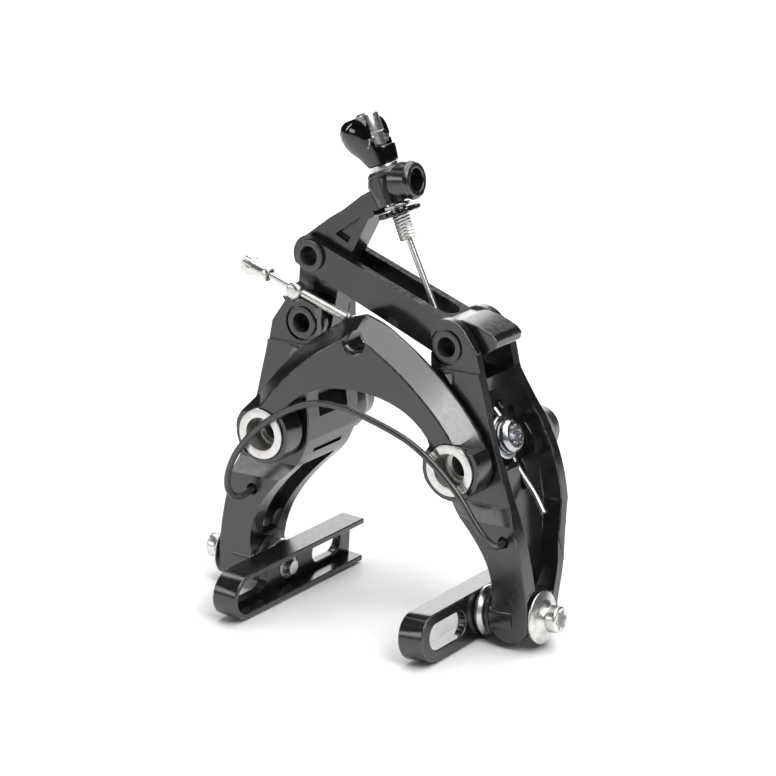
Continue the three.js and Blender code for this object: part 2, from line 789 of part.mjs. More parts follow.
function releasePin() {
  const [x, , z] = pivotOfRelease;
  const reach = releaseSlot + 1.2;
  const shape = drum(releasePinRadius, x, z, midDepth - reach, midDepth + reach, 16);
  return mesh("quick_release_pin", shape, darkGrey);
}

// ---- centring screw ----
const centringAxis = [Math.cos(centring.slope), 0, Math.sin(centring.slope)];

function alongCentring(radius, from, to, sides) {
  const { x, y, z } = centring.nut;
  return turned([[0, from], [radius, from], [radius, to], [0, to]], [x, y, z], centringAxis, sides);
}

const centringScrew = () =>
  mesh("centring_screw", join(alongCentring(0.9, -9, 1, 12), alongCentring(1.25, 0.6, 16.2, 14)), steel);

function centringKnob() {
  const profile = [
    [0, -16.4],
    [2.5, -16.4],
    [2.7, -15.8],
    [2.7, -14],
    [2.2, -13.4],
    [1.6, -10.2],
    [1.9, -9.4],
    [1.9, -8.6],
    [0, -8.6],
  ];
  const body = turned(profile, [centring.nut.x, centring.nut.y, centring.nut.z], centringAxis, 16);
  return mesh("centring_knob", cut(body, alongCentring(0.9 + gap, -13, -8, 12)), steel);
}

function centringNut() {
  const { x, z } = centring.nut;
  const nut = cut(drum(2.3, x, z, 8.2, clevis.front + 0.5, 14), alongCentring(1.25 + gap, -9, 9, 14));
  return mesh("centring_nut", nut, steel);
}

// ---- pad holders, drawn in the frame of the pad bolt ----
function alongBolt(radius, from, to, sides) {
  return turned([[0, from], [radius, from], [radius, to], [0, to]], [0, 0, 0], [1, 0, 0], sides);
}

const onBolt = (profile, sides) => turned(profile, [0, 0, 0], [1, 0, 0], sides);
const onSide = (shape, side) => sided(place(shape, padFrame(1)), side);

// Side view of the holder: square at the back, round at the front.
function holderSection(inset) {
  const half = holder.height / 2 - inset;
  const centre = { x: holder.front + holder.height / 2, z: 0 };
  const front = arc(centre, half, 90, 270, 12).map((p) => [p.x, p.y]);
  return [...front, [holder.back + inset * 8, -half], [holder.back + inset * 8, half]].reverse();
}

function ovalHole(middle, length, half) {
  const ends = [middle - length / 2, middle + length / 2];
  const profile = [[0, -20], [half, -20], [half, 0], [0, 0]];
  const rounds = ends.map((y) => turned(profile, [0, y, 0], [1, 0, 0], 16));
  return join(block(-20, 0, ...ends, -half, half), ...rounds);
}

function padHolder(name, side) {
  const shell = crossPrism(holderSection(0), holder.face, holder.rear);
  const channel = crossPrism(holderSection(holder.wall), holder.face - 1, holder.rear - 2.6);
  const windows = [ovalHole(-17.6, 10, 3.3), ovalHole(17.5, 7, 3)];
  const boltHole = alongBolt(2.5 + gap, -20, 0, 14);
  const nutPocket = alongBolt(padNutRadius + gap, -12, -9.7, 24);
  return mesh(name, onSide(cut(shell, channel, ...windows, boltHole, nutPocket), side), blackAnodised);
}

// Round nut that carries the bolt, sunk below the floor of the holder's channel.
function padNut(name, side) {
  const nut = cut(alongBolt(padNutRadius, -11.5, -10, 24), alongBolt(2.2, -20, 0, 16));
  return mesh(name, onSide(nut, side), zinc);
}

function sphericalWasher(name, side) {
  const profile = [
    [2.9, -8.5],
    [6.3, -8.5],
    [6.5, -7.6],
    [5.6, -6.6],
    [4.6, -6.1],
    [2.9, -6.1],
    [2.9, -8.5],
  ];
  return mesh(name, onSide(onBolt(profile, 18), side), steel);
}

function cupWasher(name, side) {
  const profile = [[2.9, -5.6], [4.8, -5.8], [6.2, -5.6], [6.2, -4.6], [2.9, -4.6], [2.9, -5.6]];
  return mesh(name, onSide(onBolt(profile, 18), side), darkGrey);
}

// Cone-headed bolt with a six-lobed socket.
function padBoltPiece(name, side) {
  const profile = [
    [0, -13.2],
    [1.9, -13.2],
    [1.9, -9],
    [2.5, -9],
    [2.5, 7.2],
    [6.6, 7.2],
    [6.6, 7.7],
    [4.4, 8.3],
    [2.8, 9.6],
    [3.4, 10],
    [3.4, 12.4],
    [3, 12.8],
    [0, 12.8],
  ];
  const bolt = cut(onBolt(profile, 22), socket(2.3, 10.6, 14));
  return mesh(name, onSide(bolt, side), steel);
}

function socket(radius, from, to) {
  const steps = 24;
  const points = Array.from({ length: steps }, (_, i) => {
    const angle = (i * 2 * Math.PI) / steps;
    const r = radius * (1 + 0.16 * Math.cos(6 * angle));
    return [r * Math.cos(angle), r * Math.sin(angle)];
  });
  return crossPrism(points, from, to);
}

// ---- wire clamp on the right arm ----
function atAnchor(shape) {
  const matrix = new THREE.Matrix4().makeRotationY(-anchor.slope);
  return place(shape, matrix.setPosition(anchor.x, anchor.y, anchor.z));
}

function anchorBolt() {
  const profile = [[0, -1.4], [2, -1.4], [2, 2.5], [4.2, 2.5], [4.2, 4], [3.4, 5], [0, 5]];
  return mesh("anchor_bolt", atAnchor(cut(onBolt(profile, 24), socket(2.1, 3.2, 9))), zinc);
}

function anchorWasher() {
  const profile = [[2.3, 1.1], [5.5, 1.1], [5.5, 1.8], [5.1, 2.2], [2.3, 2.2], [2.3, 1.1]];
  return mesh("anchor_washer", atAnchor(onBolt(profile, 18)), zinc);
}

// ---- brake wire ----
const wireRoute = [
  cablePoint(-11.4),
  cablePoint(-14.6),
  [9.6, midDepth, 40.8],
  [14.2, midDepth, 31],
  [18.4, midDepth + 0.1, 23.4],
  [23, midDepth + 0.6, 16.8],
  [27.6, wireDepth, 12],
  [30.5, wireDepth, 9],
  [32.2, wireDepth, 4.6],
  [34, wireDepth, -0.4],
  [36.8, wireDepth, -4.6],
  [40.4, wireDepth - 0.1, -8.9],
  [44, midDepth, -13],
];

const brakeWire = () => mesh("brake_wire", rodAlong(wireRoute, wireRadius, 8, 44), steel);

// ---- assembly ----
const caliper = new THREE.Group();
caliper.position.y = -overallDepth;

const arch = new THREE.Group();
arch.add(archPlate(), returnSpring(), leftSleeve(), rightSleeve());

for (const [name, side] of Object.entries(sides)) {
  arch.add(
    rearSeat(`${name}_rear_seat`, side),
    thrustWasher(`${name}_front_thrust_washer`, side, archBack + gap),
    thrustWasher(`${name}_rear_thrust_washer`, side, armBack + gap),
  );
}

const padAssembly = (name, side) => [
  padHolder(`${name}_pad_holder`, side),
  padNut(`${name}_pad_nut`, side),
  sphericalWasher(`${name}_spherical_washer`, side),
  cupWasher(`${name}_cup_washer`, side),
  padBoltPiece(`${name}_pad_bolt`, side),
];

const bushes = (name, side) => [
  armBush(`${name}_front_bush`, side, armFront + gap),
  armBush(`${name}_rear_bush`, side, armBack - gap - bushLength),
];

const left = new THREE.Group();
left.add(leftArm(), ...bushes("left", -1), ...padAssembly("left", -1));
left.add(hollowPin("lever_pivot_pin", leftToggle, pin.radius, earFront, clevis.rearEarBack));
left.add(centringNut(), centringScrew(), centringKnob());

const right = new THREE.Group();
right.add(rightArm(), ...bushes("right", 1), ...padAssembly("right", 1));
right.add(hollowPin("link_pivot_pin", toggle, pin.radius, earFront, clevis.rearEarBack));
right.add(anchorBolt(), anchorWasher(), brakeWire());

const lever = new THREE.Group();
lever.add(stopLever(), hollowPin("crank_pin", leverCrank, pin.crank, linkFront - 1, linkBack + 1.2));
lever.add(seatWasher(), housingBarrel(), releasePin(), quickRelease());
lever.add(adjusterStud(), thumbWheel(), lockNut());

caliper.add(arch, left, right, lever, toggleLink());
export default caliper;
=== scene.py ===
"""Looks of a direct-mount rim brake caliper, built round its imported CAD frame.

Row frame, in metres: +X right, +Y back towards the bicycle frame, +Z up. The origin lies midway
between the two mounting bores, on the plane of the rear seats.
"""

import json
from math import cos, pi, radians, sin

import bmesh
import bpy
from mathutils import Matrix, Vector
from mathutils.bvhtree import BVHTree
from mathutils.kdtree import KDTree


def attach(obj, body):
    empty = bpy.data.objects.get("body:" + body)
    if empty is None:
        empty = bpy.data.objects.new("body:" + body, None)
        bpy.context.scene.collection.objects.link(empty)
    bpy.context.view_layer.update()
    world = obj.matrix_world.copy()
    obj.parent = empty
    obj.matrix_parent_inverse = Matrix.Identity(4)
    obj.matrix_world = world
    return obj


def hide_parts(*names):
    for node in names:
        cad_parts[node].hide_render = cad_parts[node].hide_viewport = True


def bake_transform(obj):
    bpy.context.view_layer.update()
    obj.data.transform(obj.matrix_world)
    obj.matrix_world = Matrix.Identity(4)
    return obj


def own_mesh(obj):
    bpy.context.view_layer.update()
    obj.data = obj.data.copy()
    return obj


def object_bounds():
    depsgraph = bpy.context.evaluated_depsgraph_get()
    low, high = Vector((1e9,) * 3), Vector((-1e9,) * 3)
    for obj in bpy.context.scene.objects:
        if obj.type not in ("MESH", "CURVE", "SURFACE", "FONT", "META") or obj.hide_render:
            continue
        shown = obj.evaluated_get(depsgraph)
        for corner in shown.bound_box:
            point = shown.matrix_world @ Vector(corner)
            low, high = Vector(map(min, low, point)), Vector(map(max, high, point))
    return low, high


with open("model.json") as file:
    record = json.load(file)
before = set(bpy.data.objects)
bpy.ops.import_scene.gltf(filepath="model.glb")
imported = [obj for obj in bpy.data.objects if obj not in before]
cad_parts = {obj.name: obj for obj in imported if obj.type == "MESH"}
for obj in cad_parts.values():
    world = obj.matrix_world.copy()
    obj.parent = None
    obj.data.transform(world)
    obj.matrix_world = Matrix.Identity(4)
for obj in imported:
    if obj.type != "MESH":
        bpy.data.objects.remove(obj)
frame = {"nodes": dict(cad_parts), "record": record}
CAD_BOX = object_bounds()

BODY_OF = {
    node: body
    for body, nodes in frame["record"]["behaviour"]["bodies"].items()
    for node in nodes
}
SLOT_OF = {part["node"]: part["material_slot"] for part in frame["record"]["subparts"]}

# Lengths below are millimetres with y counted from the front faces of the sleeves.
MM = 0.001
DEPTH = 43.5  # sleeve front face to rear seat face, mm
SIDES = {"left": -1, "right": 1}

PIVOT_X = 28.0
TOGGLE = (21.4, 27.9)
CRANK = (-20.4, 44.8)
MID_DEPTH = 18.3
CABLE_HEAD = (-0.6, 64.3)
CABLE_TILT = radians(22.5)
PAD_BOLT = (40.0, 12.4, -38.2)
PAD_TILT = radians(4)
CENTRING_NUT = (-23.5, 10.6, 35.8)
CENTRING_SLOPE = radians(-18.7)
ANCHOR = (32.2, 16.6, 4.6)
ALONG_Y = (0, 1, 0)
ANCHOR_SLOPE = radians(20)
TOOL_SLOT_TURN = radians(45)
TOOL_SLOT_DEPTH = 0.8
WIRE_DEPTH = 19.8
WIRE_RADIUS = 0.8
SPRING_RADIUS = 0.85


def at(x, y, z):
    """A point in metres in the row frame, from millimetres with y counted from the sleeve face."""
    return Vector((x, y - DEPTH, z)) * MM


# ---- camera ----
AZIMUTH = radians(33.25)
ELEVATION = radians(16.44)
ROLL = radians(-0.25)
DISTANCE = 0.7296
TARGET = at(10.55, 0, 18.23)


def make_camera():
    data = bpy.data.cameras.new("camera")
    data.sensor_width = 36
    data.lens = 139.2
    data.clip_start = 0.05
    camera = bpy.data.objects.new("camera", data)
    bpy.context.scene.collection.objects.link(camera)
    back = Vector(
        (
            sin(AZIMUTH) * cos(ELEVATION),
            -cos(AZIMUTH) * cos(ELEVATION),
            sin(ELEVATION),
        )
    )
    camera.location = TARGET + back * DISTANCE
    camera.rotation_mode = "QUATERNION"
    facing = (-back).to_track_quat("-Z", "Y").to_matrix()
    camera.rotation_quaternion = (facing @ Matrix.Rotation(ROLL, 3, "Z")).to_quaternion()
    bpy.context.scene.camera = camera


# ---- materials ----
class Nodes:
    """A Principled material whose detail is laid out from the piece's own coordinates."""

    def __init__(self, name, **sockets):
        self.material = bpy.data.materials.new(name)
        self.material.use_nodes = True
        self.tree = self.material.node_tree
        self.shader = self.tree.nodes["Principled BSDF"]
        for socket, value in sockets.items():
            self.shader.inputs[socket.replace("_", " ")].default_value = value
        self.place = self.tree.nodes.new("ShaderNodeTexCoord").outputs["Object"]

    def add(self, kind, **settings):
        node = self.tree.nodes.new(kind)
        for key, value in settings.items():
            setattr(node, key, value)
        return node

    def link(self, source, target):
        self.tree.links.new(source, target)

    def noise(self, size, detail=3):
        """Noise whose grains are about size millimetres across."""
        mapping = self.add("ShaderNodeMapping")
        mapping.inputs["Scale"].default_value = [1 / (size * MM)] * 3
        self.link(self.place, mapping.inputs["Vector"])
        texture = self.add("ShaderNodeTexNoise")
        texture.inputs["Scale"].default_value = 1
        texture.inputs["Detail"].default_value = detail
        self.link(mapping.outputs["Vector"], texture.inputs["Vector"])
        return texture.outputs["Fac"]

    def spread(self, value, low, high):
        """Maps the middle of a noise's range onto low to high."""
        node = self.add("ShaderNodeMapRange")
        node.inputs["From Min"].default_value = 0.3
        node.inputs["From Max"].default_value = 0.7
        node.inputs["To Min"].default_value = low
        node.inputs["To Max"].default_value = high
        self.link(value, node.inputs["Value"])
        return node.outputs["Result"]

    def mix(self, factor, low, high):
        node = self.add("ShaderNodeMix", data_type="RGBA")
        self.link(factor, node.inputs["Factor"])
        for socket, value in ((node.inputs["A"], low), (node.inputs["B"], high)):
            if isinstance(value, bpy.types.NodeSocket):
                self.link(value, socket)
            else:
                socket.default_value = (*value, 1)
        return node.outputs["Result"]

    def bump(self, height, distance):
        node = self.add("ShaderNodeBump")
        node.inputs["Strength"].default_value = 1
        node.inputs["Distance"].default_value = distance * MM
        self.link(height, node.inputs["Height"])
        self.link(node.outputs["Normal"], self.shader.inputs["Normal"])

    def edge(self):
        """1 on the broken edges of a piece, 0 elsewhere."""
        node = self.add("ShaderNodeAttribute", attribute_name="edge")
        return node.outputs["Fac"]

    def times(self, first, second):
        node = self.add("ShaderNodeMath", operation="MULTIPLY")
        self.link(first, node.inputs[0])
        self.link(second, node.inputs[1])
        return node.outputs["Value"]


COATING_IOR = 1.75
GRAIN_RELIEF = 0.0012  # mm


def anodised(name, dark, light, rough, relief=GRAIN_RELIEF):
    """Dyed anodising: fine blasted grain, faint clouds of colour, and edges paled in patches,
    partly as wear and partly as a painted edge highlight.
    """
    m = Nodes(name, IOR=COATING_IOR)
    clouds = m.spread(m.noise(6), 0, 1)
    colour = m.mix(clouds, dark, light)
    # Pale patches on the broken edges: partly wear, partly a painted edge highlight.
    wear_and_highlight_mask = m.times(m.edge(), m.spread(m.noise(1.6), 0.0, 0.7))
    wear_and_highlight_colour = [min(1, 4 * c + 0.03) for c in light]
    m.link(m.mix(wear_and_highlight_mask, colour, wear_and_highlight_colour), m.shader.inputs["Base Color"])
    m.link(m.spread(m.noise(1.1), rough - 0.04, rough + 0.06), m.shader.inputs["Roughness"])
    m.bump(m.noise(0.12, detail=2), relief)
    return m.material


def bare_metal(name, dark, light, rough):
    """Bare metal with faint clouds of colour and a fine grain."""
    m = Nodes(name, Metallic=1.0)
    m.link(m.mix(m.spread(m.noise(2.2), 0, 1), dark, light), m.shader.inputs["Base Color"])
    m.link(m.spread(m.noise(0.5), rough - 0.05, rough + 0.08), m.shader.inputs["Roughness"])
    m.bump(m.noise(0.14), GRAIN_RELIEF)
    return m.material


# Dark colour, light colour, roughness and, where it differs, the relief of the grain in mm.
ANODISED = {
    "black_anodised": ((0.006, 0.0055, 0.0055), (0.012, 0.011, 0.011), 0.2),
    "gloss_black": ((0.002, 0.002, 0.002), (0.003, 0.003, 0.003), 0.09, 0.0002),
    "dark_grey_anodised": ((0.02, 0.019, 0.019), (0.035, 0.034, 0.033), 0.3),
    "spring_steel": ((0.02, 0.019, 0.018), (0.032, 0.03, 0.029), 0.3),
}
BARE = {
    "stainless": ((0.62, 0.61, 0.59), (0.76, 0.75, 0.73), 0.3),
    "zinc_plated": ((0.42, 0.44, 0.46), (0.56, 0.58, 0.6), 0.26),
    "bearing_bronze": ((0.2, 0.14, 0.08), (0.28, 0.21, 0.12), 0.36),
    "brake_wire": ((0.62, 0.61, 0.59), (0.78, 0.77, 0.74), 0.34),
}
MATERIALS = {name: anodised(name, *finish) for name, finish in ANODISED.items()}
MATERIALS.update((name, bare_metal(name, *finish)) for name, finish in BARE.items())


# ---- pieces ----
def finish_piece(piece, node, body=None):
    """Puts a piece in the scene in place of its CAD node, with that node's finish."""
    bpy.context.scene.collection.objects.link(piece)
    piece.data.materials.append(MATERIALS[SLOT_OF[node]])
    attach(piece, body or BODY_OF[node])
    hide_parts(node)
    return piece


WELD = 0.05  # mm; CAD corners closer together than this are taken as one
FLAT = radians(1.2)  # faces that turn less than this from one another are taken as one
SPLIT = radians(42)  # edges sharper than this are not shaded smooth
BEVEL_ATTEMPTS = 10
SORE_REACH = 2.5  # how far from a flaw edges are left alone, in bevel widths
FLAW_AREA = 1e-8  # square metres; smaller faces are too small to be seen
FLAW_DISTANCE = 0.55  # how far a sound face may lie from the CAD surface, in bevel widths
FLAW_COSINE = 0.3  # least cosine between a sound face's normal and that of the CAD surface


def bevelled(source, width, sharp, sore_points):
    """The welded shape with its edges rounded, except for those near the sore points."""
    shape = bmesh.new()
    shape.from_mesh(source)
    bmesh.ops.remove_doubles(shape, verts=shape.verts, dist=WELD * MM)
    bmesh.ops.dissolve_limit(shape, angle_limit=FLAT, verts=shape.verts, edges=shape.edges)
    tree = KDTree(len(sore_points))
    for i, point in enumerate(sore_points):
        tree.insert(point, i)
    tree.balance()

    def sound(edge):
        a, b = (vert.co for vert in edge.verts)
        near = (tree.find(point)[2] for point in (a, b, (a + b) / 2))
        return not sore_points or min(near) > SORE_REACH * width * MM

    edges = [e for e in shape.edges if e.calc_face_angle(pi) > radians(sharp)]
    for edge in shape.edges:
        edge.smooth = True
    for edge in edges:
        edge.smooth = sound(edge)
    mark = shape.faces.layers.float.new("edge")
    made = bmesh.ops.bevel(
        shape,
        geom=[e for e in edges if e.smooth and e.is_manifold],
        offset=width * MM,
        offset_type="OFFSET",
        segments=3,
        profile=0.5,
        affect="EDGES",
        clamp_overlap=False,
        face_strength_mode="ALL",
    )
    for face in made["faces"]:
        face[mark] = 1.0
    bmesh.ops.triangulate(shape, faces=shape.faces, ngon_method="BEAUTY")
    shape.normal_update()
    return shape


def flaws(shape, surface, width):
    """The faces of a bevelled shape that have left the CAD surface or turned against it."""
    found = []
    for face in shape.faces:
        if face.calc_area() > FLAW_AREA:
            _, normal, _, distance = surface.find_nearest(face.calc_center_median())
            strayed = distance > FLAW_DISTANCE * width * MM
            if strayed or face.normal.dot(normal) < FLAW_COSINE:
                found.append(face)
    return found


def refined(node, width, sharp):
    """The CAD shape with its edges rounded by width millimetres and its curves shaded smooth.

    Only edges that turn by more than sharp degrees are rounded.
    Where a bevel runs into a neighbour its edges are left alone and the bevel is made again;
    the attempt with the least flawed area is the one kept.
    """
    source = frame["nodes"][node].data
    plain = bmesh.new()
    plain.from_mesh(source)
    surface = BVHTree.FromBMesh(plain)
    plain.free()
    best, least, sore_points = None, None, []
    for _ in range(BEVEL_ATTEMPTS):
        shape = bevelled(source, width, sharp, sore_points)
        bad = flaws(shape, surface, width)
        area = sum(face.calc_area() for face in bad)
        sore_points += [vert.co.copy() for face in bad for vert in face.verts]
        if best is None or area < least:
            best, least = shape, area
        if not bad:
            break
    for face in best.faces:
        face.smooth = True
    for edge in best.edges:
        edge.smooth = edge.smooth and edge.calc_face_angle(pi) < SPLIT
    mesh = bpy.data.meshes.new(node + "_refined")
    best.to_mesh(mesh)
    piece = bpy.data.objects.new(node + "_refined", mesh)
    finish_piece(piece, node)
    weighted = piece.modifiers.new("even_shading", "WEIGHTED_NORMAL")
    weighted.keep_sharp = True
    weighted.use_face_influence = True


def on_axis(point, direction):
    """The frame of a turned piece: its origin at a point and its Z along a direction."""
    turn = Vector(direction).to_track_quat("Z", "Y").to_matrix().to_4x4()
    return Matrix.Translation(point) @ turn


def soften(profile, radius, closed):
    """Rounds the corners of a profile of (radius, distance, outline) by about radius, in mm."""
    made = []
    count = len(profile)
    for i, (r, d, outline) in enumerate(profile):
        if not closed and i in (0, count - 1):
            made.append((r, d, outline))
            continue
        here = Vector((r, d))
        before = Vector(profile[i - 1][:2]) - here
        after = Vector(profile[(i + 1) % count][:2]) - here
        reach = min(radius, before.length * 0.4, after.length * 0.4)
        first = here + before.normalized() * reach
        last = here + after.normalized() * reach
        middle = (first + last + 2 * here) / 4
        made += [(*first, outline), (*middle, outline), (*last, outline)]
    return made


def revolve(node, profile, place, sides=72, edge=0.12, notch=None):
    """A turned piece. The profile runs from the axis to the axis, or closes on itself, in
    millimetres as (radius, distance) or (radius, distance, outline). outline(angle, distance)
    scales the radius round the piece for sockets, grips and threads, and notch(angle, distance)
    gives the depth of a slot across its face."""
    entries = [(*entry, None)[:3] for entry in profile]
    closed = entries[0][0] > 0
    if edge:
        entries = soften(entries, edge, closed)
    shape = bmesh.new()
    rings = []
    for r, d, outline in entries:
        if r < 1e-6:
            rings.append([shape.verts.new(place @ (Vector((0, 0, d)) * MM))])
            continue
        ring = []
        for k in range(sides):
            angle = 2 * pi * k / sides
            reach = r * (outline(angle, d) if outline else 1)
            sunk = d + (notch(angle, d) if notch else 0)
            local = Vector((reach * cos(angle), reach * sin(angle), sunk))
            ring.append(shape.verts.new(place @ (local * MM)))
        rings.append(ring)
    pairs = list(zip(rings, rings[1:]))
    if closed:
        pairs.append((rings[-1], rings[0]))
    for low, high in pairs:
        for k in range(sides):
            after = (k + 1) % sides
            below = [low[i % len(low)] for i in (k, after)]
            above = [high[i % len(high)] for i in (after, k)]
            unique = list(dict.fromkeys(below + above))
            if len(unique) > 2:
                shape.faces.new(unique)
    bmesh.ops.recalc_face_normals(shape, faces=shape.faces)
    return shaded(shape, node, node + "_turned")


def shaded(shape, node, name, body=None):
    """Makes a piece of a bmesh, shaded smooth except at its sharp edges."""
    for face in shape.faces:
        face.smooth = True
    mesh = bpy.data.meshes.new(name)
    shape.to_mesh(mesh)
    shape.free()
    mesh.set_sharp_from_angle(angle=radians(50))
    return finish_piece(bpy.data.objects.new(name, mesh), node, body)


def smooth_route(points, spacing):
    """Points about spacing metres apart on a smooth curve through the given points."""
    ends = [2 * points[0] - points[1], *points, 2 * points[-1] - points[-2]]
    route = []
    for a, b, c, d in zip(ends, ends[1:], ends[2:], ends[3:]):
        steps = max(2, round((c - b).length / spacing))
        for i in range(steps):
            t = i / steps
            square = (2 * a - 5 * b + 4 * c - d) * t**2
            cube = (3 * b - a - 3 * c + d) * t**3
            route.append(0.5 * (2 * b + (c - a) * t + square + cube))
    return [*route, points[-1]]


def sweep(node, route, radius, sides, name, body=None, outline=None):
    """A rod along a route. outline(angle, distance) scales its radius, distance in millimetres."""
    shape = bmesh.new()
    rings = []
    side = (route[1] - route[0]).orthogonal().normalized()
    travelled = 0
    for i, here in enumerate(route):
        ahead = (route[min(i + 1, len(route) - 1)] - route[max(i - 1, 0)]).normalized()
        side = (side - ahead * side.dot(ahead)).normalized()
        across = ahead.cross(side)
        ring = []
        for k in range(sides):
            angle = 2 * pi * k / sides
            reach = radius * MM * (outline(angle, travelled) if outline else 1)
            ring.append(shape.verts.new(here + (side * cos(angle) + across * sin(angle)) * reach))
        rings.append(ring)
        if i + 1 < len(route):
            travelled += (route[i + 1] - here).length / MM
    for low, high in zip(rings, rings[1:]):
        for k in range(sides):
            after = (k + 1) % sides
            shape.faces.new([low[k], low[after], high[after], high[k]])
    shape.faces.new(rings[0][::-1])
    shape.faces.new(rings[-1])
    return shaded(shape, node, name, body)


def lobed(angle, distance):
    """Outline of a six-lobed socket."""
    return 1 + 0.17 * cos(6 * angle)


def scalloped(angle, distance):
    """Outline of a thumb wheel with sixteen finger grooves."""
    return 1 - 0.07 * max(0, cos(16 * angle)) ** 2


def fluted(angle, distance):
    """Outline of a knob with straight flutes along its rim."""
    return 1 - 0.045 * abs(sin(9 * angle))


def threaded(pitch, depth):
    """Outline of a helical thread of one start."""

    def outline(angle, distance):
        turn = (distance / pitch - angle / (2 * pi)) % 1
        return 1 - depth * abs(2 * turn - 1)

    return outline


def thread_profile(radius, start, end, step, outline):
    count = round((end - start) / step)
    return [(radius, start + (end - start) * i / count, outline) for i in range(count + 1)]


def stranded(angle, distance):
    """Outline of a wire laid up from twisted strands."""
    return 1 - 0.08 * abs(sin(5 * (angle - distance * 0.62)))


def tool_slot(angle, distance):
    """Depth of the slot across the front face of the right sleeve."""
    across = abs(sin(angle - TOOL_SLOT_TURN)) < 0.17
    return max(0, TOOL_SLOT_DEPTH - distance) if across else 0


# ---- wire and spring ----
def cable_point(s):
    x, z = CABLE_HEAD
    return at(x - sin(CABLE_TILT) * s, MID_DEPTH, z + cos(CABLE_TILT) * s)


CABLE_UP = Vector((-sin(CABLE_TILT), 0, cos(CABLE_TILT)))
WIRE_HINGE = at(30.5, WIRE_DEPTH, 9)
WIRE_SPAN = [
    cable_point(-11.4),
    cable_point(-14.6),
    at(9.6, MID_DEPTH, 40.8),
    at(14.2, MID_DEPTH, 31),
    at(18.4, MID_DEPTH + 0.1, 23.4),
    at(23, MID_DEPTH + 0.6, 16.8),
    at(27.6, WIRE_DEPTH, 12),
    WIRE_HINGE,
]
WIRE_TAIL = [
    WIRE_HINGE,
    at(32.2, WIRE_DEPTH, 4.6),
    at(34, WIRE_DEPTH, -0.4),
    at(36.8, WIRE_DEPTH, -4.6),
    at(40.4, WIRE_DEPTH - 0.1, -8.9),
    at(44, MID_DEPTH, -13),
]
SPRING = [
    at(-35.6, 7.6, -17.6),
    at(-36.2, 3.4, -18.6),
    at(-37.6, 1.2, -18.2),
    at(-38.2, -0.4, -15.6),
    at(-37, -1.3, -10.6),
    at(-33.4, -1.6, -4.2),
    at(-26.4, -1.6, 3),
    at(-17.2, -1.6, 8.8),
    at(-9, -1.6, 11.6),
    at(0, -1.6, 11.5),
    at(9.2, -1.6, 9.1),
    at(17.9, -1.6, 5.9),
    at(25.3, -1.6, 1),
    at(31.8, -1.6, -5.1),
    at(36.7, -1.5, -11.8),
    at(39.2, -0.9, -15),
    at(40.3, 0.9, -17),
    at(39.9, 3.6, -18),
    at(39.4, 7.6, -18.2),
]
SPRING_CROWN = 9  # the point of the route where the two halves meet


def make_wire():
    route = smooth_route(WIRE_SPAN, 0.35 * MM)
    span = sweep("brake_wire", route, WIRE_RADIUS, 40, "wire_span", outline=stranded)
    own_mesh(span)
    tail = smooth_route(WIRE_TAIL, 0.35 * MM)
    sweep("brake_wire", tail, WIRE_RADIUS, 40, "wire_tail", body="right_arm", outline=stranded)


def make_spring():
    halves = {"left": SPRING[SPRING_CROWN::-1], "right": SPRING[SPRING_CROWN:]}
    for name, half in halves.items():
        route = smooth_route(half, 0.8 * MM)
        title = name + "_spring_half"
        piece = sweep("return_spring", route, SPRING_RADIUS, 24, title, body="arch")
        piece.parent = None
        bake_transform(piece)


# ---- turned pieces ----
def make_cable_end():
    line = on_axis(cable_point(0), CABLE_UP)
    barrel = [
        (1.3, 3.85),
        (3.5, 3.85),
        (3.5, 4.8),
        (1.9, 4.8),
        (1.9, 9.3),
        (2.5, 9.9),
        (2.5, 12.9),
        (2.9, 13.1),
        (2.9, 17.7),
        (2.3, 18.4),
        (1.3, 18.4),
    ]
    revolve("housing_barrel", barrel, line, edge=0.1)
    washer = [(2.9, 2.42), (4.9, 2.42), (4.9, 2.9), (4.1, 3.75), (2.9, 3.75)]
    revolve("cable_seat_washer", washer, line, edge=0.15)
    screw = threaded(0.8, 0.13)
    threads = thread_profile(2.38, -14.2, -8.2, 0.1, screw)
    stud = [(1.2, -14.4), (2.0, -14.4), *threads, (2.05, -8.1), (2.05, -2), (1.2, -2)]
    revolve("adjuster_stud", stud, line, sides=40, edge=0)
    rim = [(5.4, -7.7, scalloped), (5.4, -6.9, scalloped)]
    wheel = [(2.65, -8), (4.9, -8), *rim, (4.9, -6.6), (2.65, -6.6)]
    revolve("thumb_wheel", wheel, line, sides=192, edge=0.1)


def make_centring():
    line = on_axis(at(*CENTRING_NUT), (cos(CENTRING_SLOPE), 0, sin(CENTRING_SLOPE)))
    screw = threaded(0.5, 0.14)
    rod = [(0, -9), (0.9, -9), (0.9, 0.8), *thread_profile(1.25, 1, 15.8, 0.08, screw), (0, 16.2)]
    revolve("centring_screw", rod, line, sides=28, edge=0)
    knob = [
        (0, -16.4),
        (2.4, -16.4),
        (2.7, -16, fluted),
        (2.7, -14, fluted),
        (2.3, -13.4),
        (1.6, -10.2),
        (1.9, -9.4),
        (1.9, -8.6),
        (1.2, -8.6),
        (1.2, -13),
        (0, -13),
    ]
    revolve("centring_knob", knob, line, sides=108, edge=0.25)
    nut = [(0, 0), (1.5, 0), (2.3, 0.8), (2.3, 3.2), (1.5, 4.1), (0, 4.3)]
    x, _, z = CENTRING_NUT
    revolve("centring_nut", nut, on_axis(at(x, 8.2, z), ALONG_Y), edge=0.5)


